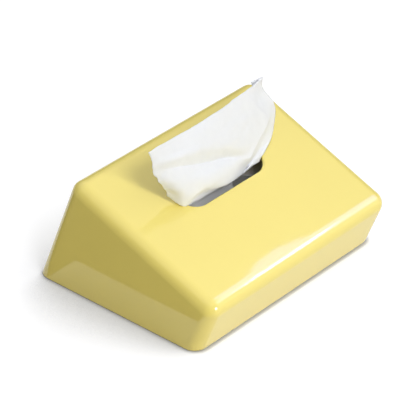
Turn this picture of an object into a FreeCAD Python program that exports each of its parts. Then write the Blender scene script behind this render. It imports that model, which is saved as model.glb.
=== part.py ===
"""A wedge-shaped tissue box cover on its table, with the carton of tissues that stands under it.

The cover is one moulded shell: a rounded box, tipped forward and cut off level with the table,
with a slot through its sloping top. X runs along the slot, the low front faces -Y, Z is up, and
the origin lies on the table in the middle of the cover's outline.
"""
import FreeCAD, Part
import math
import os
import Sketcher
from FreeCAD import Vector

doc = FreeCAD.newDocument("tissue_box_cover")

SIZES = {
    # the moulded shell: depth, height and the slot's shift are measured along the tipped box
    "cover_length": 260,
    "cover_depth": 189,
    "front_height": 60,
    "tilt": 21.6,
    "wall": 3,
    "edge_radius": 13,
    "rim_radius": 0.8,
    "slot_length": 116,
    "slot_width": 42,
    "slot_back_shift": 23.5,
    "lip_radius": 1.8,
    "under_lip_radius": 0.8,
    # the paperboard carton of tissues
    "carton_side_gap": 11,
    "carton_back_gap": 30.4,
    "carton_height": 62,
    "card": 0.8,
    "score_radius": 1.2,
    "opening_margin": 9,
    # the film glued under the carton's opening
    "film_margin": 6,
    "film_thickness": 0.3,
    "slit_margin": 3,
    # the tissues: folded in the stack, clasped behind the tail, and pulled up through the slot
    "stack_end_gap": 20.2,
    "stack_fold_gap": 8.6,
    "stack_height": 18,
    "fold_radius": 4,
    "leaf_thickness": 0.7,
    "leaf_rise": 24,
    "leaf_bend": 3,
    "leaf_back": 9,
    "tissue_thickness": 0.8,
    "tissue_rise": 72,
    # fits
    "soft_clearance": 0.3,
    "overrun": 5,
}
sheet = doc.addObject("Spreadsheet::Sheet", "Sheet")
for row, (alias, value) in enumerate(SIZES.items(), start=1):
    sheet.set(f"A{row}", alias)
    sheet.set(f"B{row}", str(value))
    sheet.setAlias(f"B{row}", alias)
doc.recompute()

# What follows from the sizes: the tipped box's top front corner and the slot's middle, then the carton
# that stands centred under the slot, its opening, and the folded sheets that fit in it.
COS, SIN, TAN = "cos(Sheet.tilt)", "sin(Sheet.tilt)", "tan(Sheet.tilt)"
CORNER_Y = (f"(-(Sheet.front_height * {SIN} + Sheet.cover_depth / {COS}"
            f" + Sheet.edge_radius * ({COS} + {SIN} - 1)) / 2)")
CORNER_Z = f"(Sheet.front_height * {COS})"
SLOT_MIDDLE = "(Sheet.cover_depth / 2 + Sheet.slot_back_shift)"
SLOT_Y = f"({CORNER_Y} + {SLOT_MIDDLE} * {COS})"
SLOT_Z = f"({CORNER_Z} + {SLOT_MIDDLE} * {SIN})"
BACK_WALL_Y = (f"({CORNER_Y} + Sheet.cover_depth / {COS}"
               f" + ({CORNER_Z} - Sheet.carton_height) * {TAN} - Sheet.wall / {COS})")
CARTON_LENGTH = "(Sheet.cover_length - 2 * (Sheet.wall + Sheet.carton_side_gap))"
CARTON_DEPTH = f"(2 * ({BACK_WALL_Y} - Sheet.carton_back_gap - {SLOT_Y}))"
OPENING_LENGTH = "(Sheet.slot_length + 2 * Sheet.opening_margin)"
OPENING_WIDTH = "(Sheet.slot_width + 2 * Sheet.opening_margin)"
SHEET_WIDTH = f"({CARTON_LENGTH} - 2 * (Sheet.card + Sheet.stack_end_gap))"
STACK_DEPTH = f"({CARTON_DEPTH} - 2 * (Sheet.card + Sheet.stack_fold_gap))"
STACK_TOP = "(Sheet.card + Sheet.stack_height)"


def read(expression):
    """The number that an expression gives with the sheet's sizes."""
    return float(sheet.evalExpression(expression))


def new_body(name):
    """A body that is named for its piece, with its place bound to the sheet by place()."""
    body = doc.addObject("PartDesign::Body", name)
    body.Label = name
    return body


def place(body, y, z):
    body.setExpression("Placement.Base.y", y)
    body.setExpression("Placement.Base.z", z)


def new_sketch(body, name, role):
    """A sketch on one of the body's own origin planes."""
    plane = next(f for f in body.Origin.OriginFeatures if f.Role == role)
    sketch = body.newObject("Sketcher::SketchObject", name)
    sketch.AttachmentSupport = [(plane, "")]
    sketch.MapMode = "FlatFace"
    return sketch


def drive(sketch, name, expression, kind, *where):
    """A dimension of the sketch that follows an expression on the sheet."""
    index = sketch.addConstraint(Sketcher.Constraint(kind, *where, read(expression)))
    sketch.renameConstraint(index, name)
    sketch.setExpression(f"Constraints.{name}", expression)


def polygon(sketch, points):
    """A closed outline of straight lines, whose dimensions come after."""
    corners = [Vector(x, y, 0) for x, y in points]
    for k, corner in enumerate(corners):
        following = corners[(k + 1) % len(corners)]
        sketch.addGeometry(Part.LineSegment(corner, following), False)
    for k in range(len(corners)):
        sketch.addConstraint(Sketcher.Constraint("Coincident", k, 2, (k + 1) % len(corners), 1))


def square_up(sketch, horizontal, vertical):
    for line in horizontal:
        sketch.addConstraint(Sketcher.Constraint("Horizontal", line))
    for line in vertical:
        sketch.addConstraint(Sketcher.Constraint("Vertical", line))


def rectangle(sketch, width, height, bottom=None):
    """A rectangle on the sketch's Y axis, around the origin or standing at a height."""
    half = read(width) / 2
    low = read(bottom) if bottom else -read(height) / 2
    high = low + read(height)
    polygon(sketch, [(-half, low), (half, low), (half, high), (-half, high)])
    square_up(sketch, (2,), (1, 3))
    sketch.addConstraint(Sketcher.Constraint("Symmetric", 0, 1, 0, 2, -2))
    drive(sketch, "width", width, "DistanceX", 0, 1, 0, 2)
    drive(sketch, "height", height, "DistanceY", 1, 1, 1, 2)
    drive(sketch, "bottom", bottom or f"-({height}) / 2", "DistanceY", -1, 1, 0, 1)


def stadium(sketch, length, width, middle):
    """A round-ended slot along the sketch's X axis, its middle on the Y axis."""
    radius = read(width) / 2
    reach = read(length) / 2 - radius
    height = read(middle)
    quarter = math.pi / 2
    for side in (-1, 1):
        circle = Part.Circle(Vector(side * reach, height, 0), Vector(0, 0, 1), radius)
        start = -quarter if side > 0 else quarter
        sketch.addGeometry(Part.ArcOfCircle(circle, start, start + math.pi), False)
    for side in (-radius, radius):
        ends = Vector(-reach, height + side, 0), Vector(reach, height + side, 0)
        sketch.addGeometry(Part.LineSegment(*ends), False)
    for line, line_end, arc, arc_end in ((2, 1, 0, 2), (2, 2, 1, 1), (3, 2, 1, 2), (3, 1, 0, 1)):
        sketch.addConstraint(Sketcher.Constraint("Tangent", line, line_end, arc, arc_end))
    sketch.addConstraint(Sketcher.Constraint("Horizontal", 2))
    sketch.addConstraint(Sketcher.Constraint("Symmetric", 0, 3, 1, 3, -2))
    drive(sketch, "radius", f"{width} / 2", "Radius", 0)
    drive(sketch, "centres", f"{length} - {width}", "DistanceX", 0, 3, 1, 3)
    drive(sketch, "middle", middle, "DistanceY", -1, 1, 0, 3)


def feature(body, kind, name, profile, length, side_type="One side"):
    """A pad or a pocket of a sketch."""
    made = body.newObject(f"PartDesign::{kind}", name)
    made.Profile = profile
    made.SideType = side_type
    made.setExpression("Length", length)
    doc.recompute()
    return made


def fillet(body, name, base, radius, chosen):
    """Rounds those edges of the base feature that the test picks out."""
    edges = [f"Edge{k}" for k, edge in enumerate(base.Shape.Edges, start=1) if chosen(edge)]
    made = body.newObject("PartDesign::Fillet", name)
    made.Base = (base, edges)
    made.setExpression("Radius", radius)
    doc.recompute()
    return made


def middle_of(edge):
    return edge.valueAt((edge.FirstParameter + edge.LastParameter) / 2)


NEAR_SHARE = 1e-6


def near(value, target):
    """True where two lengths agree, to a small share of the cover's length."""
    return abs(value - target) < NEAR_SHARE * read("Sheet.cover_length")


def build_cover_shell():
    """The moulded shell. Its own frame is the tipped box: Y runs up the slope, Z stands square to the top."""
    body = new_body("cover_shell")
    depth, front = read("Sheet.cover_depth"), read("Sheet.front_height")
    slope = math.tan(math.radians(read("Sheet.tilt")))

    profile = new_sketch(body, "side_profile", "YZ_Plane")
    polygon(profile, [(0, 0), (0, -front), (depth, -front - depth * slope), (depth, 0)])
    square_up(profile, (3,), (0, 2))
    profile.addConstraint(Sketcher.Constraint("Coincident", 0, 1, -1, 1))
    drive(profile, "front", "Sheet.front_height", "DistanceY", 0, 2, 0, 1)
    drive(profile, "depth", "Sheet.cover_depth", "DistanceX", 0, 1, 2, 2)
    drive(profile, "back", f"Sheet.front_height + Sheet.cover_depth * {TAN}", "DistanceY", 2, 1, 2, 2)
    block = feature(body, "Pad", "wedge_block", profile, "Sheet.cover_length", "Symmetric")

    def on_table(point):
        return near(point.z, -front - point.y * slope)

    def above_table(edge):
        return not on_table(middle_of(edge))

    inside = new_sketch(body, "inside_profile", "YZ_Plane")
    low = f"-(Sheet.front_height + Sheet.cover_depth * {TAN} + Sheet.overrun)"
    bottom, wall = read(low), read("Sheet.wall")
    polygon(inside, [(wall, -wall), (wall, bottom), (depth - wall, bottom), (depth - wall, -wall)])
    square_up(inside, (1, 3), (0, 2))
    drive(inside, "front", "Sheet.wall", "DistanceX", -1, 1, 0, 1)
    drive(inside, "back", "Sheet.cover_depth - Sheet.wall", "DistanceX", -1, 1, 2, 1)
    drive(inside, "roof", "-Sheet.wall", "DistanceY", -1, 1, 0, 1)
    drive(inside, "open_bottom", low, "DistanceY", -1, 1, 1, 1)
    hollow = feature(body, "Pocket", "hollow", inside, "Sheet.cover_length - 2 * Sheet.wall", "Symmetric")
    half_inside = read("Sheet.cover_length") / 2 - wall

    def inside_corner(edge):
        box = edge.BoundBox
        within = max(abs(box.XMin), abs(box.XMax)) < half_inside + wall / 2
        within = within and box.YMin > wall / 2 and box.YMax < depth - wall / 2 and box.ZMax < -wall / 2
        return within and above_table(edge)

    def outside_edge(edge):
        return above_table(edge) and not inside_corner(edge)

    softened = fillet(body, "inside_corners", hollow, "Sheet.edge_radius - Sheet.wall", inside_corner)
    fillet(body, "outside_edges", softened, "Sheet.edge_radius", outside_edge)

    outline = new_sketch(body, "slot_outline", "XY_Plane")
    stadium(outline, "Sheet.slot_length", "Sheet.slot_width", SLOT_MIDDLE)
    slot = feature(body, "Pocket", "tissue_slot", outline, "Sheet.wall + Sheet.overrun")

    def round_slot(edge, height):
        box = edge.BoundBox
        within = max(abs(box.XMin), abs(box.XMax)) < read("Sheet.slot_length") / 2 + wall
        within = within and abs(middle_of(edge).y - read(SLOT_MIDDLE)) < read("Sheet.slot_width") / 2 + wall
        return within and near(box.ZMin, height) and near(box.ZMax, height)

    lip = fillet(body, "slot_lip", slot, "Sheet.lip_radius", lambda edge: round_slot(edge, 0))
    under_lip = fillet(body, "under_lip", lip, "Sheet.under_lip_radius",
                       lambda edge: round_slot(edge, -wall))

    def outer_rim(edge):
        """An edge on the table that is nearer to the block's faces than half a wall."""
        point = middle_of(edge)
        radius = read("Sheet.edge_radius")
        across = abs(point.x) - read("Sheet.cover_length") / 2 + radius
        along = max(radius - point.y, point.y - depth + radius)
        out = math.hypot(max(across, 0), max(along, 0))
        return on_table(point) and out > radius - wall / 2

    fillet(body, "rim", under_lip, "Sheet.rim_radius", outer_rim)
    body.Placement.Rotation = FreeCAD.Rotation(Vector(1, 0, 0), read("Sheet.tilt"))
    body.setExpression("Placement.Rotation.Angle", "Sheet.tilt")
    place(body, CORNER_Y, CORNER_Z)
    return body


def build_carton():
    """The paperboard box that the tissues are sold in, standing on the table under the slot."""
    body = new_body("tissue_carton")
    base = new_sketch(body, "carton_base", "XY_Plane")
    rectangle(base, CARTON_LENGTH, CARTON_DEPTH)
    block = feature(body, "Pad", "carton_block", base, "Sheet.carton_height")
    fillet(body, "scored_edges", block, "Sheet.score_radius", lambda edge: True)
    inside = new_sketch(body, "carton_inside", "YZ_Plane")
    inside_depth = f"{CARTON_DEPTH} - 2 * Sheet.card"
    inside_height = "Sheet.carton_height - 2 * Sheet.card"
    rectangle(inside, inside_depth, inside_height, "Sheet.card")
    feature(body, "Pocket", "carton_hollow", inside, f"{CARTON_LENGTH} - 2 * Sheet.card", "Symmetric")
    mouth = new_sketch(body, "carton_mouth", "XY_Plane")
    mouth.AttachmentOffset.Base = Vector(0, 0, read("Sheet.carton_height"))
    mouth.setExpression("AttachmentOffset.Base.z", "Sheet.carton_height")
    stadium(mouth, OPENING_LENGTH, OPENING_WIDTH, "0")
    feature(body, "Pocket", "carton_opening", mouth, "Sheet.card + Sheet.overrun")
    place(body, SLOT_Y, "0")
    return body


SLIT_WIDTH_SHARE = 0.5
SLIT_FORWARD_SHARE = 0.125


def build_film():
    """The clear film glued under the carton's roof, with the slit that holds the tissue up."""
    body = new_body("carton_film")
    outline = new_sketch(body, "film_outline", "XY_Plane")
    film_length = f"{OPENING_LENGTH} + 2 * Sheet.film_margin"
    film_depth = f"{OPENING_WIDTH} + 2 * Sheet.film_margin"
    rectangle(outline, film_length, film_depth)
    feature(body, "Pad", "film", outline, "Sheet.film_thickness")
    cut = new_sketch(body, "slit_outline", "XY_Plane")
    slit_length = "(Sheet.slot_length + 2 * Sheet.slit_margin)"
    slit_width = f"({SLIT_WIDTH_SHARE} * Sheet.slot_width + Sheet.slit_margin)"
    stadium(cut, slit_length, slit_width, f"-{SLIT_FORWARD_SHARE} * Sheet.slot_width")
    feature(body, "Pocket", "slit", cut, "Sheet.film_thickness + Sheet.overrun", "Symmetric")
    place(body, SLOT_Y, "Sheet.carton_height - Sheet.card - Sheet.film_thickness")
    return body


def build_stack():
    """The folded tissues left in the carton, with soft folds along the front and the back."""
    body = new_body("tissue_stack")
    profile = new_sketch(body, "stack_profile", "YZ_Plane")
    rectangle(profile, STACK_DEPTH, "Sheet.stack_height", "0")
    block = feature(body, "Pad", "stack_block", profile, SHEET_WIDTH, "Symmetric")
    fillet(body, "soft_folds", block, "Sheet.fold_radius", lambda edge: near(middle_of(edge).x, 0))
    place(body, SLOT_Y, "Sheet.card")
    return body


def build_next_tissue():
    """The next sheet: one half flat on the stack, the other standing behind the tail that will draw it."""
    body = new_body("next_tissue")
    front, back = -read(STACK_DEPTH) / 2, read("Sheet.leaf_back")
    leaf, rise = read("Sheet.leaf_thickness"), read("Sheet.leaf_rise")
    profile = new_sketch(body, "leaf_profile", "YZ_Plane")
    rear = back + leaf
    polygon(profile, [(front, 0), (rear, 0), (rear, rise), (back, rise), (back, leaf), (front, leaf)])
    square_up(profile, (0, 2, 4), (1, 3, 5))
    drive(profile, "front", f"-{STACK_DEPTH} / 2", "DistanceX", -1, 1, 0, 1)
    drive(profile, "back", "Sheet.leaf_back", "DistanceX", -1, 1, 3, 1)
    drive(profile, "rise", "Sheet.leaf_rise", "DistanceY", 1, 1, 1, 2)
    drive(profile, "flat_leaf", "Sheet.leaf_thickness", "DistanceY", 5, 2, 5, 1)
    drive(profile, "standing_leaf", "Sheet.leaf_thickness", "DistanceX", 2, 2, 2, 1)
    profile.addConstraint(Sketcher.Constraint("PointOnObject", 0, 1, -1))
    leaves = feature(body, "Pad", "leaves", profile, SHEET_WIDTH, "Symmetric")

    def at(edge, y, z):
        middle = middle_of(edge)
        return near(middle.x, 0) and near(middle.y, y) and near(middle.z, z)

    inner = fillet(body, "inner_bend", leaves, "Sheet.leaf_bend", lambda edge: at(edge, back, leaf))
    outer_radius = "Sheet.leaf_bend + Sheet.leaf_thickness"
    fillet(body, "outer_bend", inner, outer_radius, lambda edge: at(edge, rear, 0))
    place(body, SLOT_Y, STACK_TOP)
    return body


# The pulled-up tissue, level by level, as (across, back) places on its way from the left raw edge over the
# front panel to the crease, round the turn and behind to the tucked edge. The gathered tail's places are
# shares of the slot's length and width. Higher up, heights are shares of the tissue's rise above the
# slot's middle, and places are shares of the sheet's width. Each bulge is a share of its own chord.
TAIL_PLACE_SHARES = ((-0.483, -0.136), (0.396, -0.213), (0.396, -0.009), (-0.275, 0.000))
TAIL_BULGE_SHARES = (0.041, 0.42, 0)
FLARE_LEVEL_SHARES = (
    # height, front bulge, turn bulge, left edge, crease, turned back, tucked edge
    (0.20, 0.045, 0.42, (-0.411, -0.053), (0.300, -0.055), (0.300, -0.012), (0.040, 0.012)),
    (0.50, 0.030, 0.42, (-0.484, -0.042), (0.400, 0.000), (0.405, 0.030), (0.300, 0.055)),
    (1.00, 0.012, 0.06, (-0.537, -0.042), (0.335, 0.026), (0.360, 0.036), (0.378, 0.048)),
)
TAIL_HEIGHT_SHARE = 0.04


def band(path, bulge_shares, height, thickness):
    """A closed outline, one sheet thick, on both sides of a level path of arcs and lines."""
    nodes = [Vector(x, y, height) for x, y in path]
    normals = [Vector() for _ in nodes]
    middles = []
    for k, share in enumerate(bulge_shares):
        chord = nodes[k + 1] - nodes[k]
        side = Vector(chord.y, -chord.x, 0).normalize()
        lean = FreeCAD.Rotation(Vector(0, 0, 1), 2 * math.degrees(math.atan(2 * share)))
        normals[k] += lean.inverted().multVec(side)
        normals[k + 1] += lean.multVec(side)
        middles.append(((nodes[k] + nodes[k + 1]) / 2 + side * share * chord.Length, side))

    def one_face(offset):
        ends = [node + normal.normalize() * offset for node, normal in zip(nodes, normals)]
        edges = []
        for k, (middle, side) in enumerate(middles):
            if bulge_shares[k]:
                edges.append(Part.Arc(ends[k], middle + side * offset, ends[k + 1]).toShape())
            else:
                edges.append(Part.makeLine(ends[k], ends[k + 1]))
        return ends, edges

    front, front_edges = one_face(thickness / 2)
    rear, rear_edges = one_face(-thickness / 2)
    raw_edges = [Part.makeLine(front[-1], rear[-1]), Part.makeLine(rear[0], front[0])]
    return Part.Wire(Part.__sortEdges__(front_edges + rear_edges + raw_edges))


def build_pop_up_tissue():
    """The tissue in use: a flared front panel, creased and tucked back at the right, gathered in the slot."""
    thickness = read("Sheet.tissue_thickness")
    slot_y, slot_z = read(SLOT_Y), read(SLOT_Z)
    rise, width = read("Sheet.tissue_rise"), read(SHEET_WIDTH)
    slot_length, slot_width = read("Sheet.slot_length"), read("Sheet.slot_width")

    def level(height_share, places, bulge_shares, across_size, back_size):
        path = [(across * across_size, slot_y + back * back_size) for across, back in places]
        return band(path, bulge_shares, slot_z + height_share * rise, thickness)

    tail_outline = level(TAIL_HEIGHT_SHARE, TAIL_PLACE_SHARES, TAIL_BULGE_SHARES, slot_length, slot_width)
    outlines = [tail_outline]
    for height, front_bulge, turn_bulge, *places in FLARE_LEVEL_SHARES:
        outlines.append(level(height, places, (front_bulge, turn_bulge, 0), width, width))
    flare = Part.makeLoft(outlines, True, True)
    tail_end = read(f"{STACK_TOP} + Sheet.leaf_thickness + Sheet.soft_clearance")
    tail = Part.Face(tail_outline).extrude(Vector(0, 0, tail_end - tail_outline.BoundBox.ZMin))
    tissue = doc.addObject("Part::Feature", "pop_up_tissue")
    tissue.Label = "pop_up_tissue"
    tissue.Shape = flare.fuse(tail).removeSplitter()
    tissue.Placement = FreeCAD.Placement()
    return tissue


builders = (build_cover_shell, build_carton, build_film, build_stack, build_next_tissue, build_pop_up_tissue)
pieces = [build() for build in builders]
doc.recompute()
failed = [item.Name for item in doc.Objects if {"Invalid", "Error"} & set(item.State)]
failed += [piece.Label for piece in pieces if piece.Shape.isNull() or not piece.Shape.isValid()]
if failed:
    raise RuntimeError(f"not built: {failed}")

os.makedirs("parts", exist_ok=True)
for piece in pieces:
    piece.Shape.exportStep(f"parts/{piece.Label}.step")
    box = piece.Shape.BoundBox
    print(f"{piece.Label}: {len(piece.Shape.Solids)} solid, {piece.Shape.Volume:.0f} mm3,"
          f" {box.XLength:.1f} x {box.YLength:.1f} x {box.ZLength:.1f} mm")
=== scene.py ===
import math

import bmesh
import bpy
import numpy as np
from mathutils import Matrix, Vector, noise


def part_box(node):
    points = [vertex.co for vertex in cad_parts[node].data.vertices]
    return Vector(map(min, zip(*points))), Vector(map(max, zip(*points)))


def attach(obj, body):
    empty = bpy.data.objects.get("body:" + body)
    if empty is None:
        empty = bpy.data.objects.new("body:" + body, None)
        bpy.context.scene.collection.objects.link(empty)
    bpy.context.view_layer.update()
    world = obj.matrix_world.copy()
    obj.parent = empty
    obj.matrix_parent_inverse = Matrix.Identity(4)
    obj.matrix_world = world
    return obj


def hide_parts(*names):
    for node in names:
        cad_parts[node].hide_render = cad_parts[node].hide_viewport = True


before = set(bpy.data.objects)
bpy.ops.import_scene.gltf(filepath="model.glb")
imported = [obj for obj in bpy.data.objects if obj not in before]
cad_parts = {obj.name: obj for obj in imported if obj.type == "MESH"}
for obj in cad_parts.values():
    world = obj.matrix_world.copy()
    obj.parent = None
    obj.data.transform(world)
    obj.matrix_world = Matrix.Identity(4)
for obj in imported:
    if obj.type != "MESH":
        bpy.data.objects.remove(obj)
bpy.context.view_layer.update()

# Tissue carton: the box that the tissues are sold in, which stands on the table under the cover.
# White-lined grey board, die-cut, creased and glued, with a tuck flap glued over each end and an
# oval knocked out of the roof along a row of perforations, which leaves small torn nibs.
CARD = 0.0008
CARTON_MIDDLE = -0.0049
OPENING = (0.134, 0.060)
carton_low, carton_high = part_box("tissue_carton")


class Shade:
    """A socket of a shader tree. Sums of it are written as plain expressions."""

    def __init__(self, tree, socket=None):
        self.tree, self.socket = tree, socket

    def node(self, kind, settings=None, inputs=None, output=0):
        """A node of that type: its settings first, then the values or links of its sockets."""
        made = self.tree.nodes.new(kind)
        for name, value in (settings or {}).items():
            setattr(made, name, value)
        for name, value in (inputs or {}).items():
            if isinstance(value, Shade):
                self.tree.links.new(value.socket, made.inputs[name])
            else:
                made.inputs[name].default_value = value
        return Shade(self.tree, made.outputs[output] if made.outputs else None)

    def sum(self, operation, *values):
        return self.node("ShaderNodeMath", {"operation": operation}, dict(enumerate(values)))

    def __add__(self, other):
        return self.sum("ADD", self, other)

    def __radd__(self, other):
        return self.sum("ADD", other, self)

    def __rsub__(self, other):
        return self.sum("SUBTRACT", other, self)

    def __mul__(self, other):
        return self.sum("MULTIPLY", self, other)

    def __rmul__(self, other):
        return self.sum("MULTIPLY", other, self)

    def between(self, low, high):
        """0 below low and 1 above high, smooth between them."""
        limits = {"Value": self, "From Min": low, "From Max": high}
        return self.node("ShaderNodeMapRange", {"interpolation_type": "SMOOTHSTEP"}, limits)

    def mix(self, first, second):
        """The first colour where this value is 0, the second where it is 1."""
        return self.node("ShaderNodeMix", {"data_type": "RGBA"}, {0: self, 6: first, 7: second}, 2)

    def bump(self, height, distance):
        """A normal for this height, a value from 0 to 1, over that many metres."""
        return self.node("ShaderNodeBump", {}, {"Height": height, "Distance": distance})


def finish(name, constants):
    """A new Principled material with those socket values. Returns it, its shader and its tree."""
    material = bpy.data.materials.new(name)
    material.use_nodes = True
    shader = material.node_tree.nodes["Principled BSDF"]
    for socket, value in constants.items():
        shader.inputs[socket].default_value = value
    return material, shader, Shade(material.node_tree)


def feed(material, shader, links):
    """Links shader maths to the shader's own sockets."""
    for socket, value in links.items():
        material.node_tree.links.new(value.socket, shader.inputs[socket])


def cloud(start, where, scale, detail=2.0, roughness=0.5):
    """Soft noise, from 0 to 1, of that many lumps to the metre."""
    values = {"Vector": where, "Scale": scale, "Detail": detail, "Roughness": roughness}
    return start.node("ShaderNodeTexNoise", {}, values)


def stretched(start, where, size):
    """Coordinates scaled by three numbers, for grain that runs one way."""
    return start.node("ShaderNodeMapping", {}, {"Vector": where, "Scale": size})


carton_board, shader, start = finish("carton_board", {"Roughness": 0.78, "Specular IOR Level": 0.3})
where = start.node("ShaderNodeTexCoord", {}, {}, "Object")
fibre = cloud(start, stretched(start, where, (500.0, 1500.0, 1500.0)), 1.0, 4.0, 0.65)
mottle = cloud(start, where, 90.0, 3.0)
speck = cloud(start, where, 900.0, 1.0).between(0.70, 0.76)
BOARD_DULL, BOARD_PALE = (0.74, 0.72, 0.68, 1), (0.86, 0.845, 0.81, 1)
BOARD_SPECK = (0.46, 0.42, 0.36, 1)
tone = (0.6 * mottle + 0.4 * fibre).mix(BOARD_DULL, BOARD_PALE)
feed(carton_board, shader, {
    "Base Color": (speck * 0.35).mix(tone, BOARD_SPECK),
    "Roughness": 0.68 + 0.2 * fibre,
    "Normal": start.bump(fibre * 0.7 + mottle * 0.3, 0.00012),
})


def dress(mesh, material):
    """Gives a mesh one material in place of those it has."""
    mesh.materials.clear()
    mesh.materials.append(material)


dress(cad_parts["tissue_carton"].data, carton_board)


def placed(name, data):
    """A new object in the scene."""
    made = bpy.data.objects.new(name, data)
    bpy.context.scene.collection.objects.link(made)
    return made


def piece(name, mesh, material, body):
    """Links a finished mesh as one piece that rides on a body."""
    made = placed(name, mesh)
    dress(mesh, material)
    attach(made, body)
    return made


class Recipe:
    """A geometry node tree, its named inputs and the plain mesh that it gives."""

    def __init__(self, name, **sizes):
        self.tree = bpy.data.node_groups.new(name, "GeometryNodeTree")
        self.sizes, self.sockets = sizes, {}
        for size, value in sizes.items():
            kind = "NodeSocketInt" if isinstance(value, int) else "NodeSocketFloat"
            self.sockets[size] = self.socket(size, "INPUT", kind)
        self.sockets["Finish"] = self.socket("Finish", "INPUT", "NodeSocketMaterial")
        self.socket("Geometry", "OUTPUT", "NodeSocketGeometry")
        self.given = self.tree.nodes.new("NodeGroupInput")

    def socket(self, name, way, kind):
        return self.tree.interface.new_socket(name, in_out=way, socket_type=kind)

    def size(self, name):
        return self.given.outputs[name]

    def step(self, kind, settings=None, inputs=None, output=0):
        """A node of that type, with its settings and the values or links of its sockets."""
        made = self.tree.nodes.new(kind)
        for name, value in (settings or {}).items():
            setattr(made, name, value)
        for name, value in (inputs or {}).items():
            if isinstance(value, bpy.types.NodeSocket):
                self.tree.links.new(value, made.inputs[name])
            else:
                made.inputs[name].default_value = value
        return made.outputs[output]

    def math(self, operation, first, second):
        return self.step("ShaderNodeMath", {"operation": operation}, {0: first, 1: second})

    def xyz(self, x, y, z):
        return self.step("ShaderNodeCombineXYZ", {}, {"X": x, "Y": y, "Z": z})

    def mesh(self, geometry, material):
        """Ends the tree, runs it once and returns its result as a plain mesh."""
        solid = self.step("GeometryNodeRealizeInstances", {}, {"Geometry": geometry})
        paint = {"Geometry": solid, "Material": self.size("Finish")}
        painted = self.step("GeometryNodeSetMaterial", {}, paint)
        end = self.tree.nodes.new("NodeGroupOutput")
        self.tree.links.new(painted, end.inputs["Geometry"])
        holder = placed(self.tree.name, bpy.data.meshes.new(self.tree.name))
        modifier = holder.modifiers.new(self.tree.name, "NODES")
        modifier.node_group = self.tree
        for size, value in self.sizes.items():
            modifier[self.sockets[size].identifier] = value
        modifier[self.sockets["Finish"].identifier] = material
        ready = holder.evaluated_get(bpy.context.evaluated_depsgraph_get())
        made = bpy.data.meshes.new_from_object(ready)
        bpy.data.objects.remove(holder)
        return made


# A fillet of nearly half the width rounds an end without its two arcs running into each other.
NEARLY_HALF = 0.4995
NIB_INSET, NIB_DEEP, NIB_THICK = 0.0003, 0.8, 0.9
NIB_LEAST, NIB_MOST = (0.6, 0.3, 0.8), (1.2, 1.5, 1.0)
nibs = Recipe("torn_nibs", Length=OPENING[0] - NIB_INSET, Width=OPENING[1] - NIB_INSET, Nib=0.0011,
              Card=CARD, Middle=CARTON_MIDDLE, Height=carton_high.z - CARD / 2, Count=104, Seed=3)
edge = nibs.step("GeometryNodeCurvePrimitiveQuadrilateral", {},
                 {"Width": nibs.size("Length"), "Height": nibs.size("Width")})
end_radius = nibs.math("MULTIPLY", nibs.size("Width"), NEARLY_HALF)
edge = nibs.step("GeometryNodeFilletCurve", {"mode": "POLY"},
                 {"Curve": edge, "Radius": end_radius, "Count": 24})
edge = nibs.step("GeometryNodeResampleCurve", {}, {"Curve": edge, "Count": nibs.size("Count")})
nib_deep = nibs.math("MULTIPLY", nibs.size("Nib"), NIB_DEEP)
nib_thick = nibs.math("MULTIPLY", nibs.size("Card"), NIB_THICK)
nib = nibs.step("GeometryNodeMeshCube", {}, {"Size": nibs.xyz(nibs.size("Nib"), nib_deep, nib_thick)})
along = nibs.step("GeometryNodeInputTangent")
turn = nibs.step("FunctionNodeAlignRotationToVector", {"axis": "X"}, {"Vector": along})
uneven = nibs.step("FunctionNodeRandomValue", {"data_type": "FLOAT_VECTOR"},
                   {0: NIB_LEAST, 1: NIB_MOST, "Seed": nibs.size("Seed")})
row = {"Points": edge, "Instance": nib, "Rotation": turn, "Scale": uneven}
row = nibs.step("GeometryNodeInstanceOnPoints", {}, row)
lift = nibs.xyz(0.0, nibs.size("Middle"), nibs.size("Height"))
row = nibs.step("GeometryNodeTransform", {}, {"Geometry": row, "Translation": lift})
piece("carton_torn_nibs", nibs.mesh(row, carton_board), carton_board, "carton")

FLAP_SHARES = ((-0.488, 0.985), (-0.488, 0.42), (-0.40, 0.10),
               (0.40, 0.10), (0.488, 0.42), (0.488, 0.985))
FLAP_CARD, FLAP_EDGE = CARD * 0.7, 0.00025
flaps = bmesh.new()
depth, height = carton_high.y - carton_low.y, carton_high.z
for side, face in ((-1, carton_low.x), (1, carton_high.x)):
    corners = [flaps.verts.new((face, CARTON_MIDDLE + a * depth, b * height)) for a, b in FLAP_SHARES]
    panel = flaps.faces.new(corners)
    grown = bmesh.ops.extrude_face_region(flaps, geom=[panel])["geom"]
    for vert in grown:
        if isinstance(vert, bmesh.types.BMVert):
            vert.co.x += side * FLAP_CARD
bmesh.ops.recalc_face_normals(flaps, faces=flaps.faces[:])
flap_edges = [e for e in flaps.edges if abs(e.verts[0].co.x - e.verts[1].co.x) < 1e-6]
bmesh.ops.bevel(flaps, geom=flap_edges, offset=FLAP_EDGE, segments=2, affect="EDGES", profile=0.5)
flap_mesh = bpy.data.meshes.new("carton_end_flaps")
flaps.to_mesh(flap_mesh)
flaps.free()
piece("carton_end_flaps", flap_mesh, carton_board, "carton")

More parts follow.
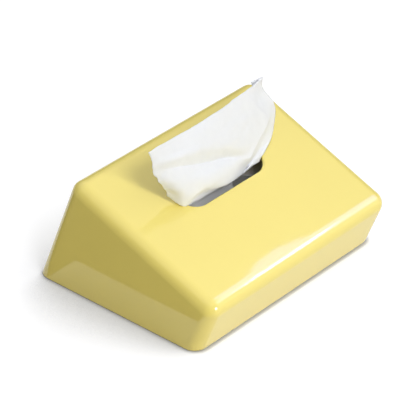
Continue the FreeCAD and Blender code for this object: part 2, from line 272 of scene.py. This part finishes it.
# Carton film: a rectangle of clear film glued under the carton's roof, with an oval slit that grips
# the tissue. Blown polyethylene, cut from a roll, a little slack and scuffed, so it shows as haze.
clear_film, shader, start = finish("clear_film", {
    "Base Color": (0.9, 0.92, 0.93, 1), "Roughness": 0.2, "IOR": 1.5, "Alpha": 0.3})
where = start.node("ShaderNodeTexCoord", {}, {}, "Object")
slack = cloud(start, stretched(start, where, (30.0, 90.0, 1.0)), 1.0, 2.0)
scuff = cloud(start, stretched(start, where, (40.0, 900.0, 1.0)), 1.0, 3.0).between(0.55, 0.75)
feed(clear_film, shader, {
    "Roughness": 0.14 + 0.3 * scuff,
    "Alpha": 0.2 + 0.12 * slack + 0.16 * scuff,
    "Normal": start.bump(slack, 0.0015),
})
dress(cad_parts["carton_film"].data, clear_film)

# Tissue stack: the sheets that are left, each folded in half round its neighbour's edge, with the
# folds at the front and the back by turns. Two-ply bleached tissue, cut and interfolded in one pass.
SHEET = 0.190
STACK_SHEETS, STACK_PITCH, FOLD_GAP = 17, 0.00100, 0.0015
FOLD_ROOM, FOOT_ROOM = 0.003, 0.0002
SLIP = (0.0008, 0.0012, 0.0)
stack_low, stack_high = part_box("tissue_stack")
white_tissue, shader, start = finish("white_tissue", {
    "Roughness": 0.92, "Specular IOR Level": 0.12, "Sheen Weight": 0.12, "Sheen Roughness": 0.6})
where = start.node("ShaderNodeTexCoord", {}, {}, "Object")
crepe = cloud(start, stretched(start, where, (900.0, 900.0, 2600.0)), 1.0, 3.0, 0.6)
felt = cloud(start, where, 260.0, 4.0, 0.6)
blush = cloud(start, where, 35.0, 2.0)
TISSUE_DULL, TISSUE_PALE = (0.77, 0.788, 0.832, 1), (0.84, 0.858, 0.905, 1)
feed(white_tissue, shader, {
    "Base Color": (0.5 * felt + 0.5 * blush).mix(TISSUE_DULL, TISSUE_PALE),
    "Roughness": 0.86 + 0.1 * crepe,
    "Normal": start.bump(crepe * 0.6 + felt * 0.4, 0.00016),
})
stack = Recipe("interfolded_sheets", Width=SHEET, Depth=stack_high.y - stack_low.y - FOLD_ROOM,
               Gap=FOLD_GAP, Pitch=STACK_PITCH, Middle=CARTON_MIDDLE, Foot=stack_low.z + FOOT_ROOM,
               Sheets=STACK_SHEETS, Seed=11)
run = stack.step("GeometryNodeMeshLine", {"mode": "OFFSET"}, {"Count": 4, "Offset": (0.0, 0.0, 0.0)})
step = stack.step("GeometryNodeInputIndex")
far, farther, upper = (
    stack.step("FunctionNodeCompare", {"data_type": "INT", "operation": test}, {2: step, 3: number})
    for test, number in (("EQUAL", 1), ("EQUAL", 2), ("GREATER_THAN", 1)))
at_fold = stack.step("FunctionNodeBooleanMath", {"operation": "OR"}, {0: far, 1: farther})
reach = stack.math("MULTIPLY", stack.math("SUBTRACT", at_fold, 0.5), stack.size("Depth"))
rise = stack.math("MULTIPLY", upper, stack.size("Gap"))
fold = stack.xyz(0.0, reach, rise)
run = stack.step("GeometryNodeSetPosition", {}, {"Geometry": run, "Position": fold})
run = stack.step("GeometryNodeMeshToCurve", {}, {"Mesh": run})
bend = stack.math("MULTIPLY", stack.size("Gap"), NEARLY_HALF)
run = stack.step("GeometryNodeFilletCurve", {"mode": "POLY"},
                 {"Curve": run, "Radius": bend, "Count": 8})
half_width = stack.math("MULTIPLY", stack.size("Width"), 0.5)
less = stack.math("MULTIPLY", stack.size("Width"), -0.5)
band = stack.step("GeometryNodeCurvePrimitiveLine", {"mode": "POINTS"},
                  {"Start": stack.xyz(less, 0.0, 0.0), "End": stack.xyz(half_width, 0.0, 0.0)})
sheet_mesh = stack.step("GeometryNodeCurveToMesh", {}, {"Curve": run, "Profile Curve": band})
pile = stack.step("GeometryNodeMeshLine", {"mode": "OFFSET"},
                  {"Count": stack.size("Sheets"), "Offset": stack.xyz(0.0, 0.0, stack.size("Pitch"))})
number = stack.step("GeometryNodeInputIndex")
odd = stack.math("MODULO", number, 2.0)
shift = stack.step("FunctionNodeRandomValue", {"data_type": "FLOAT_VECTOR"},
                   {0: [-most for most in SLIP], 1: SLIP, "Seed": stack.size("Seed")})
pile = stack.step("GeometryNodeSetPosition", {}, {"Geometry": pile, "Offset": shift})
half_turn = stack.xyz(0.0, 0.0, stack.math("MULTIPLY", odd, math.pi))
pile = stack.step("GeometryNodeInstanceOnPoints", {},
                  {"Points": pile, "Instance": sheet_mesh, "Rotation": half_turn})
lift = stack.xyz(0.0, stack.size("Middle"), stack.size("Foot"))
pile = stack.step("GeometryNodeTransform", {}, {"Geometry": pile, "Translation": lift})
pile_mesh = stack.mesh(pile, white_tissue)
tissue_pile = piece("tissue_pile", pile_mesh, white_tissue, "carton")
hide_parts("tissue_stack")

# Next tissue: the sheet that comes up after the drawn one. The same two-ply tissue, its lower half
# flat on the stack, folded at the back, its leading edge drawn up behind the tail of the drawn one.
PLY = 0.0003
LEAF_LINE = ((-0.050, 0.0192), (-0.010, 0.0191), (0.034, 0.0192), (0.0375, 0.0199), (0.034, 0.0207),
             (0.018, 0.0212), (0.008, 0.0222), (0.0048, 0.0262), (0.0042, 0.0330), (0.0046, 0.0425))
LEAF_STEPS, LEAF_INSET = (10, 10, 6, 6, 6, 6, 6, 6, 8), 0.001
STAND_FROM, STAND_OVER = 0.021, 0.02
SIDE_WAVES = ((0.0014, 95.0, 0.0), (0.0007, 231.0, 1.0))
TOP_WAVE, CORNER_DROP = (0.0010, 61.0, 0.6), 0.003


def through(points, counts):
    """A smooth line through an array of points, with that many steps in each run between two."""
    points = np.asarray(points, float)
    before = np.concatenate([2 * points[:1] - points[1:2], points[:-2]])
    after = np.concatenate([points[2:], 2 * points[-1:] - points[-2:-1]])
    made = []
    for k, steps in enumerate(counts):
        t = np.arange(steps)[(...,) + (None,) * (points.ndim - 1)] / steps
        a, b, c, d = before[k], points[k], points[k + 1], after[k]
        made.append(0.5 * (2 * b + (c - a) * t + (2 * a - 5 * b + 4 * c - d) * t**2
                           + (3 * b - a - 3 * c + d) * t**3))
    return np.concatenate(made + [points[-1:]])


def sheet_piece(name, net, body):
    """A sheet of tissue from a net of points, with a UV map in shares of the flat sheet."""
    rows, columns = net.shape[:2]
    mesh = bpy.data.meshes.new(name)
    index = np.arange(rows * columns).reshape(rows, columns)
    quads = np.stack([index[:-1, :-1], index[:-1, 1:], index[1:, 1:], index[1:, :-1]], -1)
    quads = quads.reshape(-1, 4)
    mesh.from_pydata(net.reshape(-1, 3).tolist(), [], quads.tolist())
    flat = mesh.uv_layers.new(name="flat_sheet")
    v, u = np.divmod(quads.reshape(-1), columns)
    shares = np.stack([u / (columns - 1), v / (rows - 1)], -1)
    flat.data.foreach_set("uv", shares.astype(np.float32).ravel())
    mesh.shade_smooth()
    made = piece(name, mesh, white_tissue, body)
    two_ply = made.modifiers.new("two_ply", "SOLIDIFY")
    two_ply.thickness, two_ply.offset = PLY, 0.0
    return made


line = through(LEAF_LINE, LEAF_STEPS)
across = np.linspace(-SHEET / 2 + LEAF_INSET, SHEET / 2 - LEAF_INSET, 61)
net = np.zeros((len(line), len(across), 3))
net[..., 0] = across
net[..., 1:] = line[:, None]
stand = np.clip((net[..., 2] - STAND_FROM) / STAND_OVER, 0, 1)
for size, waves, shift in SIDE_WAVES:
    net[..., 1] += stand * size * np.sin(across * waves + shift)
size, waves, shift = TOP_WAVE
net[..., 2] += stand**2 * size * np.sin(across * waves + shift)
net[..., 2] -= stand * CORNER_DROP * (across / (SHEET / 2)) ** 2
next_sheet = sheet_piece("next_sheet", net, "carton")
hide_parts("next_tissue")

# Cover: the pale yellow wedge that stands over the carton. One hollow moulding in glossy ABS with
# generous edges, an even wall and an open bottom, and a round-ended slot with a soft lip in its top.
LENGTH, DEPTH, FRONT = 0.260, 0.189, 0.060
TILT = math.radians(21.6)
WALL, EDGE, RIM = 0.003, 0.013, 0.0014
SLOT_REACH, SLOT_RADIUS, SLOT_UP = 0.037, 0.021, 0.118
LIP, UNDER_LIP = 0.0018, 0.0008
BELOW_EDGE, CORNER_STEPS = EDGE + 0.0005, 12
TOP_CORNER = np.array((0.0, -0.114620, 0.055787))
ALONG = np.array((1.0, 0.0, 0.0))
UP_SLOPE = np.array((0.0, math.cos(TILT), math.sin(TILT)))
OFF_TOP = np.array((0.0, -math.sin(TILT), math.cos(TILT)))

core_x, core_low, core_high = LENGTH / 2 - EDGE, EDGE, DEPTH - EDGE
inner_points, outward = [], []
for start_x, start_v, end_x, end_v, count in (
        (-core_x, core_low, core_x, core_low, 64), (core_x, core_low, core_x, core_high, 34),
        (core_x, core_high, -core_x, core_high, 48), (-core_x, core_high, -core_x, core_low, 34)):
    run = np.array((end_x - start_x, end_v - start_v))
    square = np.array((run[1], -run[0])) / np.hypot(*run)
    for k in range(count + 1):
        inner_points.append((start_x + run[0] * k / count, start_v + run[1] * k / count))
        outward.append(square)
    for k in range(1, CORNER_STEPS):
        turn = math.pi / 2 * k / CORNER_STEPS
        inner_points.append((end_x, end_v))
        outward.append((square[0] * math.cos(turn) - square[1] * math.sin(turn),
                        square[0] * math.sin(turn) + square[1] * math.cos(turn)))
core, outward = np.array(inner_points), np.array(outward)
spine = np.stack([np.clip(core[:, 0], -SLOT_REACH, SLOT_REACH), np.full(len(core), SLOT_UP)], -1)
from_spine = (core - spine) / np.linalg.norm(core - spine, axis=1)[:, None]
rings = []


def ring(plan, depth):
    """One closed line round the cover: its plan points and how far under the top's plane they lie."""
    rings.append(np.column_stack([plan, np.broadcast_to(-np.asarray(depth, float), len(plan))]))


def round_slot(out):
    """Plan points of the slot's outline, that far outside it."""
    return spine + from_spine * (SLOT_RADIUS + out)


def table(plan):
    """How far under the top's plane the table is."""
    return FRONT + plan[:, 1] * math.tan(TILT)


# From the slot's lip over the top, down the walls, round the rim and up inside to the slot again.
for turn in np.radians((0, 15, 30, 45, 60, 75, 90)):
    ring(round_slot(LIP * (1 - math.cos(turn))), LIP * (1 - math.sin(turn)))
for share in (0.006, 0.06, 0.16, 0.28, 0.4, 0.52, 0.63, 0.73,
              0.81, 0.87, 0.915, 0.95, 0.975, 0.992, 1.0):
    ring(round_slot(LIP) * (1 - share) + core * share, 0.0)
for turn in np.radians((4, 10, 17, 24, 31, 38, 46, 54, 62, 70, 79, 86, 90)):
    ring(core + outward * EDGE * math.sin(turn), EDGE * (1 - math.cos(turn)))
outer = core + outward * EDGE
for share in (0.02, 0.2, 0.5, 0.8, 0.98):
    ring(outer, BELOW_EDGE + (table(outer) - RIM - BELOW_EDGE) * share)
for turn in np.radians((0, 25, 50, 72, 90)):
    plan = core + outward * (EDGE - RIM * (1 - math.cos(turn)))
    ring(plan, table(plan) - RIM * (1 - math.sin(turn)))
for turn in np.radians((90, 72, 50, 25, 0)):
    plan = core + outward * (EDGE - WALL + RIM / 2 * (1 - math.cos(turn)))
    ring(plan, table(plan) - RIM / 2 * (1 - math.sin(turn)))
inner = core + outward * (EDGE - WALL)
for share in (0.96, 0.6, 0.25, 0.03):
    ring(inner, EDGE + (table(inner) - EDGE) * share)
for turn in np.radians((90, 76, 62, 48, 34, 20, 8, 0)):
    ring(core + outward * (EDGE - WALL) * math.sin(turn), EDGE - (EDGE - WALL) * math.cos(turn))
for share in (0.97, 0.8, 0.55, 0.3, 0.1, 0.012, 0.0):
    ring(round_slot(UNDER_LIP) * (1 - share) + core * share, WALL)
for turn in np.radians((70, 45, 20, 0)):
    ring(round_slot(UNDER_LIP * (1 - math.cos(turn))), WALL - UNDER_LIP * (1 - math.sin(turn)))
shell = np.array(rings)
# The top droops a little along its front edge, left of the middle, which bends the gleam there.
SINK, SINK_MIDDLE, SINK_REACH = 0.00056, -0.030, 0.055
SINK_FROM, SINK_TO = 0.034, 0.012
SINK_RIPPLE, SINK_WAVE = 0.06, 0.030
ripple = 1 + SINK_RIPPLE * np.sin(shell[:, :, 0] * math.tau / SINK_WAVE)
near = np.exp(-(((shell[:, :, 0] - SINK_MIDDLE) / SINK_REACH) ** 2)) * ripple
fall = np.clip((SINK_FROM - shell[:, :, 1]) / (SINK_FROM - SINK_TO), 0, 1)
shell[:, :, 2] -= SINK * near * fall**2 * (shell[:, :, 2] > -EDGE)
around, turns = len(core), len(rings)
world = TOP_CORNER + shell[..., :1] * ALONG + shell[..., 1:2] * UP_SLOPE + shell[..., 2:] * OFF_TOP
index = np.arange(turns * around).reshape(turns, around)
next_ring, next_point = np.roll(index, -1, 0), np.roll(index, -1, 1)
corner = np.roll(next_ring, -1, 1)
quads = np.stack([index, next_point, corner, next_ring], -1).reshape(-1, 4)
cover_mesh = bpy.data.meshes.new("yellow_cover")
cover_mesh.from_pydata(world.reshape(-1, 3).tolist(), [], quads.tolist())
skin = bmesh.new()
skin.from_mesh(cover_mesh)
bmesh.ops.remove_doubles(skin, verts=skin.verts[:], dist=1e-6)
bmesh.ops.recalc_face_normals(skin, faces=skin.faces[:])
skin.to_mesh(cover_mesh)
skin.free()
cover_mesh.shade_smooth()

yellow_gloss, shader, start = finish("yellow_gloss", {"IOR": 1.5, "Roughness": 0.06})
where = start.node("ShaderNodeTexCoord", {}, {}, "Object")
drift = cloud(start, where, 14.0, 2.0)
grain = cloud(start, where, 420.0, 3.0)
peel = cloud(start, where, 240.0, 1.0)
haze = cloud(start, where, 60.0, 4.0, 0.6)
YELLOW_DEEP, YELLOW_PALE = (0.866, 0.727, 0.197, 1), (0.896, 0.757, 0.213, 1)
feed(yellow_gloss, shader, {
    "Base Color": (0.75 * drift + 0.25 * grain).mix(YELLOW_DEEP, YELLOW_PALE),
    "Roughness": 0.045 + 0.05 * haze,
    "Normal": start.bump(peel, 0.000004),
})
cover = piece("yellow_cover", cover_mesh, yellow_gloss, "cover")
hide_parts("cover_shell")

# Drawn tissue: the sheet that stands out of the slot. Its tail hangs in the carton, folded double
# through the film's slit; above the slot it opens towards the left, with a soft crease on the right.
# Two-ply tissue, gathered by the slot and stiff enough to stand.
CRUMPLE, CRUMPLE_OPEN, RAGGED, RAGGED_POINTS = 0.0006, 0.0009, 0.0022, 5.0
OPEN_FROM, OPEN_OVER = 0.09, 0.03
LUMPS, CREASES, FINE_LUMPS = 55.0, 80.0, 130.0
# A row of the net, in mm: left edge, lobe, pleat, belly, crease, return, right fold, back edge.
SHEET_NET = (
    ((-54, -11, 20), (-43, -14, 20), (-27, -14, 20), (-8, -11, 20),
     (10, -8, 20), (22, -6, 20), (30, -3.5, 20), (-40, -3, 20)),
    ((-54, -11, 61), (-43, -13.5, 61), (-27, -13, 61), (-8, -9, 61),
     (10, -5.5, 61), (22, -3.5, 61), (30, -1.5, 61), (-40, -1, 61)),
    ((-54, -10, 86), (-44, -13, 86), (-26, -11, 86), (-7, -5.5, 86),
     (14, -1, 82), (26, 2, 84), (33, 5, 85), (-36, 1, 86)),
    ((-60, -9.5, 100), (-50, -14.5, 92.5), (-20, -15, 91.5), (6, -15.5, 90.5),
     (29, -9.5, 86), (42, -11, 89.5), (51, -8, 91), (-16, 0, 94)),
    ((-71, -6, 107.5), (-59.2, -16.8, 96), (-37, -17, 99.5), (-4.5, -19.5, 94.5),
     (31.5, -12, 88), (36.5, -15.5, 94), (53, -13, 90.6), (2, 2, 99)),
    ((-74.5, -8, 116), (-61.5, -20.5, 108.5), (-37.5, -22, 107.5), (-6, -20, 105.5),
     (34.5, -11.5, 91.5), (40.5, -14, 96.2), (54.5, -13.5, 94.2), (8, 3, 103)),
    ((-88.5, -11, 133), (-65.5, -20, 126), (-36, -20.5, 118.5), (-2, -17.5, 112),
     (35, -13.5, 96.5), (46, -12.5, 97.8), (61, -12.5, 97.8), (34, 1, 106)),
    ((-95.5, -11.5, 146.5), (-63.5, -15.5, 138), (-29.5, -14, 125.5), (6, -12.5, 114),
     (34.5, -17, 104), (53, -10.5, 100.5), (70.5, -9.5, 100.5), (57, -1, 110.5)),
    ((-96.5, -12, 150.5), (-63, -14.5, 140.5), (-28, -12.5, 127.5), (9, -10.5, 115.5),
     (35.5, -17.5, 106.5), (55.5, -9.5, 101.5), (73.5, -8.5, 101.5), (64, -2, 112)),
    ((-98.5, -13, 157), (-65, -16.5, 151), (-29.5, -16, 142), (8, -15, 128),
     (45, -15, 112), (65.5, -7.5, 113.3), (83.5, -4.5, 108), (80, -1.5, 113)),
    ((-100, -13, 163), (-59.5, -14, 156.5), (-23, -13.5, 150), (18.5, -11, 141.5),
     (69, -9, 127.5), (78, -5.5, 131), (86, -4, 134.5), (82, -1, 138)),
    ((-101.5, -13, 168.5), (-57, -11.5, 163), (-19.5, -10, 158.5), (19, -7, 154),
     (56, -5, 149), (66, -1, 152), (74, 1, 157.5), (64, 3.5, 158)),
    ((-103, -13, 173.5), (-54, -9, 169.5), (-16, -6, 167), (19.5, -3, 166.8),
     (45.5, -1, 168), (61, 1, 168), (73, 2, 170.4), (60, 4.5, 169.5)),
)
anchors = np.array(SHEET_NET) / 1000.0
lines = through(anchors, [14, 10, 8, 8, 10, 12, 10, 4, 12, 10, 8, 8])
front = through(lines[:, :5].swapaxes(0, 1), [22, 22, 22, 24])
turned = through(lines[:, 4:7].swapaxes(0, 1), [12, 12])
behind = through(lines[:, 6:].swapaxes(0, 1), [24])
net = np.concatenate([front, turned[1:], behind[1:]]).swapaxes(0, 1)
for row in net:
    for k, point in enumerate(row):
        spot = Vector(point)
        open_share = min(max((point[2] - OPEN_FROM) / OPEN_OVER, 0.0), 1.0)
        lump, fine = noise.noise(spot * LUMPS), noise.noise(spot * FINE_LUMPS)
        crumple = lump * 0.5 + fine * 0.3 - abs(noise.noise(spot * CREASES)) * 0.4
        point[1] += (CRUMPLE + CRUMPLE_OPEN * open_share) * crumple
        point[0] += RAGGED * open_share * math.exp(-k / RAGGED_POINTS) * fine
drawn_sheet = sheet_piece("drawn_sheet", net, "tissue")
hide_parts("pop_up_tissue")

# Table: the plain pale surface that the cover stands on, bright as in a studio. Its glow carries a
# painted shadow beside the cover, as if cast from the right front, a thin painted contact shadow
# where the rim stands on it, and a little painted shade that fades out away from the cover.
FLOOR_REACH, FLOOR_SIDES, FLOOR_DROP = 8, 64, 0.0002
SHADOW_REACH, CONTACT_REACH = 0.13, 0.0065
GLOW, GLOW_FAR, SHADOW_GLOW = 0.68, 0.06, 0.20
floor_mesh = bpy.data.meshes.new("table_top")
floor_turns = [k * math.tau / FLOOR_SIDES for k in range(FLOOR_SIDES)]
floor_ring = [(FLOOR_REACH * math.cos(turn), FLOOR_REACH * math.sin(turn), -FLOOR_DROP)
              for turn in floor_turns]
floor_mesh.from_pydata(floor_ring, [], [list(range(FLOOR_SIDES))])
table_top = placed("table_top", floor_mesh)


def ray(start, kind):
    """1 for a ray of that kind, 0 for any other."""
    return start.node("ShaderNodeLightPath", {}, {}, f"Is {kind} Ray")


table_white = bpy.data.materials.new("table_white")
table_white.use_nodes = True
table_white.node_tree.nodes.clear()
start = Shade(table_white.node_tree)
seen, mirrored, passed = (ray(start, kind) for kind in ("Camera", "Glossy", "Transmission"))
shown = start.sum("MAXIMUM", seen, start.sum("MAXIMUM", mirrored, passed))
plain = start.node("ShaderNodeBsdfDiffuse", {}, {"Color": (0.65, 0.62, 0.50, 1)})
dim = start.node("ShaderNodeBsdfDiffuse", {}, {"Color": (0.445, 0.45, 0.475, 1)})
where = start.node("ShaderNodeTexCoord", {}, {}, "Object")
# Painted shadow: occlusion leaning to the right front darkens the glow beside the cover.
lean = start.node("ShaderNodeCombineXYZ", {}, {"X": 0.60, "Y": -0.62, "Z": 0.50})
painted_side_shadow = start.node("ShaderNodeAmbientOcclusion", {"samples": 8},
                    {"Distance": SHADOW_REACH, "Normal": lean}, "AO")
# Painted contact shadow: short occlusion darkens the glow under the rim, for the camera only.
under = start.node("ShaderNodeAmbientOcclusion", {"samples": 8}, {"Distance": CONTACT_REACH}, "AO")
painted_contact_line = 1.0 - seen * (1.0 - under.between(0.30, 0.95))
# Painted shade: the glow grows a little paler away from where the cover stands.
away = start.node("ShaderNodeVectorMath", {"operation": "LENGTH"}, {0: where}, "Value")
# In the deepest painted shadow the glow falls to SHADOW_GLOW of its level.
painted_shadow_level = SHADOW_GLOW + (1.0 - SHADOW_GLOW) * painted_side_shadow.between(0.30, 0.75)
glow_level = (GLOW + GLOW_FAR * away.between(0.12, 0.45)) * painted_shadow_level * painted_contact_line
glow = start.node("ShaderNodeEmission", {}, {"Color": (1, 1, 1, 1), "Strength": glow_level})
pale = start.node("ShaderNodeAddShader", {}, {0: dim, 1: glow})
both = start.node("ShaderNodeMixShader", {}, {0: shown, 1: plain, 2: pale})
start.node("ShaderNodeOutputMaterial", {}, {"Surface": both})
floor_mesh.materials.append(table_white)

# Studio light: a soft box high at the front left, which casts the tissue's shadow, and a small one
# low in front. Seen only in gloss: two bluish panels at the right, a spark for the dot on the front
# corner and a dark card beside the left end. The room is pale and brightest overhead.


def soft_box(name, middle, along, upward, size, power):
    """A rectangular lamp: its middle, the directions of its two sides, their lengths and its power."""
    lamp = bpy.data.lights.new(name, "AREA")
    lamp.shape, lamp.size, lamp.size_y, lamp.energy = "RECTANGLE", size[0], size[1], power
    made = placed(name, lamp)
    side, top = Vector(along).normalized(), Vector(upward).normalized()
    facing = Matrix((side, top, side.cross(top))).transposed().to_4x4()
    made.matrix_world = Matrix.Translation(middle) @ facing
    return made


ACROSS, UPRIGHT, LEANING = (1, 0, 0), (0, 0.16, 0.987), (0.0, 0.874, 0.485)
FRONT_SIZE = (0.36, 0.32)
key_box = soft_box("key_box", (-0.70, -1.32, 1.40), (0.883, -0.469, 0.0), (0.314, 0.592, 0.747),
                   (0.45, 0.45), 13.4)
key_box.visible_glossy = False
soft_box("front_box", (0.18, -2.0, 0.38), ACROSS, UPRIGHT, FRONT_SIZE, 11.5)
panel = soft_box("right_panel", (1.12, -0.653, 1.0765), ACROSS, LEANING, (0.60, 1.128), 12.2)
panel.data.color = (0.12, 0.31, 1.0)
panel_middle = soft_box("right_panel_middle", (0.99, -0.86, 0.95), ACROSS, LEANING, (0.14, 0.42), 3.2)
panel_middle.data.color = (0.62, 0.66, 1.0)
spark = soft_box("corner_spark", (0.18, -1.98, 0.38), ACROSS, UPRIGHT, FRONT_SIZE, 70.0)
for part in (panel, panel_middle, spark):
    part.visible_diffuse = False

CARD_OUTER, CARD_INNER = -0.171, -0.131
CARD_FRONT, CARD_BACK, CARD_HIGH = -1.0, 0.098, 0.110
card_mesh = bpy.data.meshes.new("dark_card")
card_plan = ((CARD_OUTER, CARD_FRONT), (CARD_OUTER, CARD_BACK), (CARD_INNER, CARD_BACK))
card_points = [(x, y, z) for x, y in card_plan for z in (0.0, CARD_HIGH)]
card_mesh.from_pydata(card_points, [], [(0, 1, 3, 2), (2, 3, 5, 4)])
dark_card = placed("dark_card", card_mesh)
dress(card_mesh, finish("card_black", {"Base Color": (0.05, 0.04, 0.03, 1), "Roughness": 0.9})[0])
dark_card.visible_camera = dark_card.visible_diffuse = False
dark_card.visible_shadow = dark_card.visible_transmission = False

room = bpy.data.worlds.new("pale_room")
bpy.context.scene.world = room
room.use_nodes = True
room.node_tree.nodes.clear()
start = Shade(room.node_tree)
seen, mirrored, passed = (ray(start, kind) for kind in ("Camera", "Glossy", "Transmission"))
shown = start.sum("MAXIMUM", seen, passed)
toward = start.node("ShaderNodeTexCoord", {}, {}, "Generated")
rightward, backward, height = (
    start.node("ShaderNodeSeparateXYZ", {}, {"Vector": toward}, axis) for axis in "XYZ")
forward = 0.0 - backward
overhead = (0.10 + 0.80 * height.between(0.3, 0.8)) * (0.77 + 0.35 * rightward.between(-0.7, 0.5))
overhead = overhead * (1.0 + 0.45 * mirrored * height.between(0.62, 0.78))
overhead = overhead + 1.8 * mirrored * rightward.between(0.3, 0.6) * forward.between(0.15, 0.45)
dull = start.node("ShaderNodeBackground", {}, {"Color": (1, 1, 1, 1), "Strength": overhead})
white = start.node("ShaderNodeBackground", {}, {"Color": (1, 1, 1, 1), "Strength": 1.0})
both = start.node("ShaderNodeMixShader", {}, {0: shown, 1: dull, 2: white})
start.node("ShaderNodeOutputWorld", {}, {"Surface": both})

# Camera: a long lens above the front left corner, as the photograph was taken. Its place and aim were
# fitted to the cover's outline and inner edges in the photo.
LOOK_DOWN, LOOK_ROUND = 32.513, -48.9
lens = bpy.data.cameras.new("camera")
lens.sensor_width, lens.lens = 36.0, 221.2
camera = placed("camera", lens)
camera.location = (-1.5544, -1.3500, 1.3705)
camera.rotation_euler = (math.radians(90 - LOOK_DOWN), 0.0, math.radians(LOOK_ROUND))
bpy.context.scene.camera = camera
bpy.context.scene.view_settings.view_transform = "Standard"
